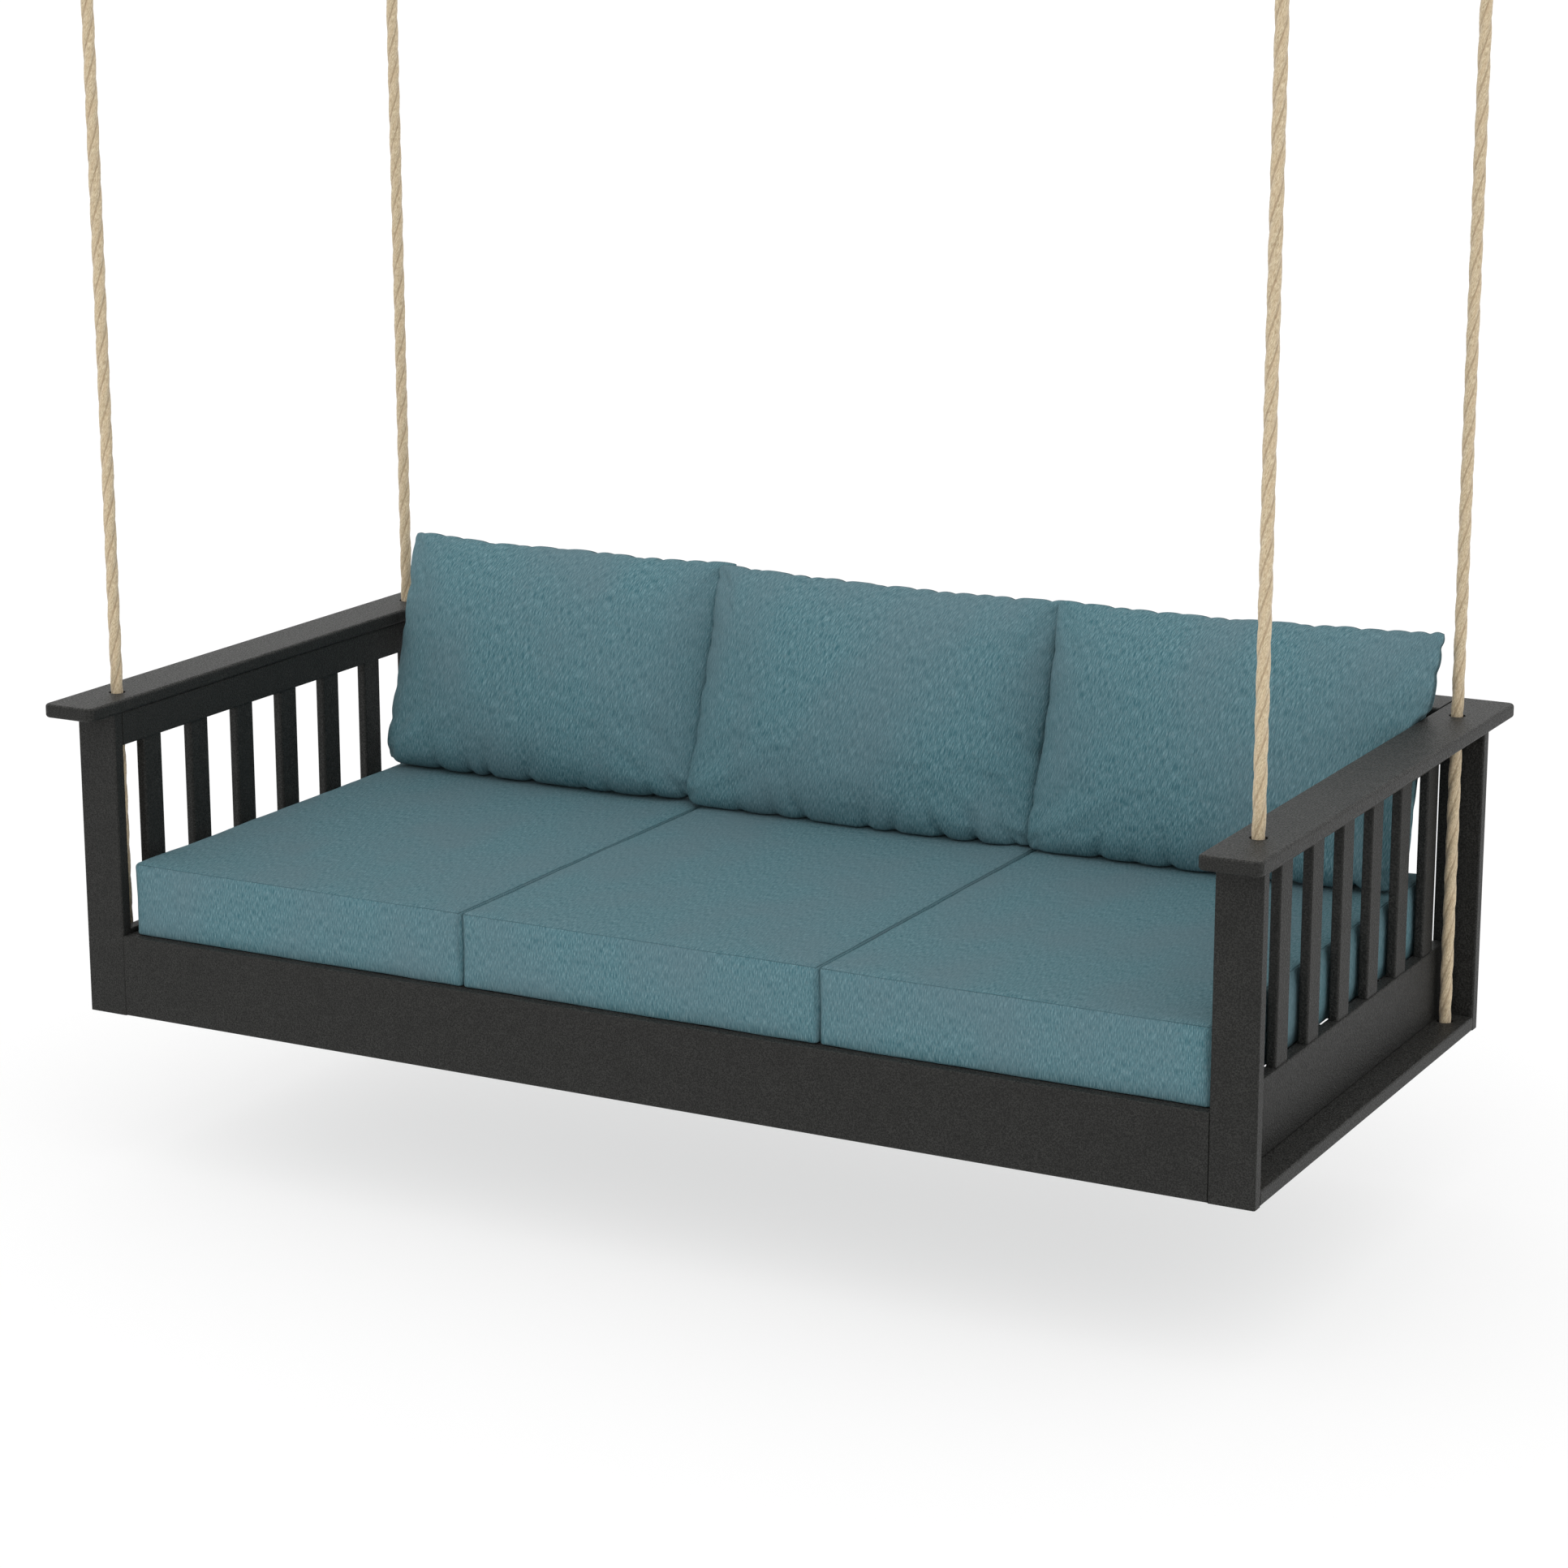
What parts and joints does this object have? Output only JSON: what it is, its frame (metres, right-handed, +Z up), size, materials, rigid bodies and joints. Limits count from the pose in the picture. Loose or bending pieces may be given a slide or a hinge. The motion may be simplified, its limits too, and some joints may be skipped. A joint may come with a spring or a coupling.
{
  "type": "porch swing seat",
  "caption": "Daybed porch swing on ropes: slatted board frame with flat arms, a deck, box seat cushions and loose back cushions, hung from ceiling eye bolts.",
  "frame": {"origin": "on the ceiling, in the middle of the rectangle of the eye bolts", "axes": "+X along the seat to the right as seen from the front, +Y from the seat's front to its back, +Z up"},
  "size_m": [2.039, 1.081, 1.99],
  "materials": {
    "frame": "fine pebbled plastic lumber",
    "steel": "galvanised",
    "rope": "fuzzy three-strand twist",
    "cushion": "heathered outdoor weave"
  },
  "bodies": {
    "ceiling_eyes": {"ceiling_eye_bolts": "steel"},
    "back_ropes": {"left_back_rope": "rope", "right_back_rope": "rope", "back_rope_eyes": "rope", "back_thimbles": "steel", "back_shackles": "steel", "back_shackle_pins": "steel"},
    "front_ropes": {"left_front_rope": "rope", "right_front_rope": "rope", "front_rope_eyes": "rope", "front_thimbles": "steel", "front_shackles": "steel", "front_shackle_pins": "steel"},
    "seat": {"back_apron": "frame", "back_cap": "frame", "back_centre_post": "frame", "back_ledger": "frame", "bracket_screws": "steel", "corner_brackets": "steel", "deck_boards": "frame", "deck_screws": "steel", "front_apron": "frame", "front_ledger": "frame", "ledger_screws": "steel", "left_arm": "frame", "left_back_cushion": "cushion", "left_back_post": "frame", "left_back_rail": "frame", "left_back_rope_tail": "rope", "left_back_slats": "frame", "left_bottom_board": "frame", "left_front_post": "frame", "left_front_rope_tail": "rope", "left_joist": "frame", "left_ledger": "frame", "left_lower_rail": "frame", "left_seat_cushion": "cushion", "left_side_slats": "frame", "left_upper_rail": "frame", "middle_back_cushion": "cushion", "middle_joist": "frame", "middle_seat_cushion": "cushion", "rail_screws": "steel", "right_arm": "frame", "right_back_cushion": "cushion", "right_back_post": "frame", "right_back_rail": "frame", "right_back_rope_tail": "rope", "right_back_slats": "frame", "right_bottom_board": "frame", "right_front_post": "frame", "right_front_rope_tail": "rope", "right_joist": "frame", "right_ledger": "frame", "right_lower_rail": "frame", "right_seat_cushion": "cushion", "right_side_slats": "frame", "right_upper_rail": "frame", "rope_stops": "steel"}
  },
  "joints": [
    {"name": "back_rope_swing", "type": "hinge", "parent": "ceiling_eyes", "child": "back_ropes", "pos_m": [0, 0.4155, -0.0307], "axis": [1, 0, 0], "range_deg": [-20, 20]},
    {"name": "seat_levelling", "type": "hinge", "parent": "back_ropes", "child": "seat", "pos_m": [0, 0.4155, -1.385], "axis": [1, 0, 0], "range_deg": [-20, 20]},
    {"name": "front_rope_swing", "type": "hinge", "parent": "ceiling_eyes", "child": "front_ropes", "pos_m": [0, -0.4155, -0.0307], "axis": [1, 0, 0], "range_deg": [-20, 20]}
  ],
  "couplings": [
    {"joint": "seat_levelling", "follows": "back_rope_swing", "ratio": -1},
    {"joint": "front_rope_swing", "follows": "back_rope_swing", "ratio": 1}
  ]
}
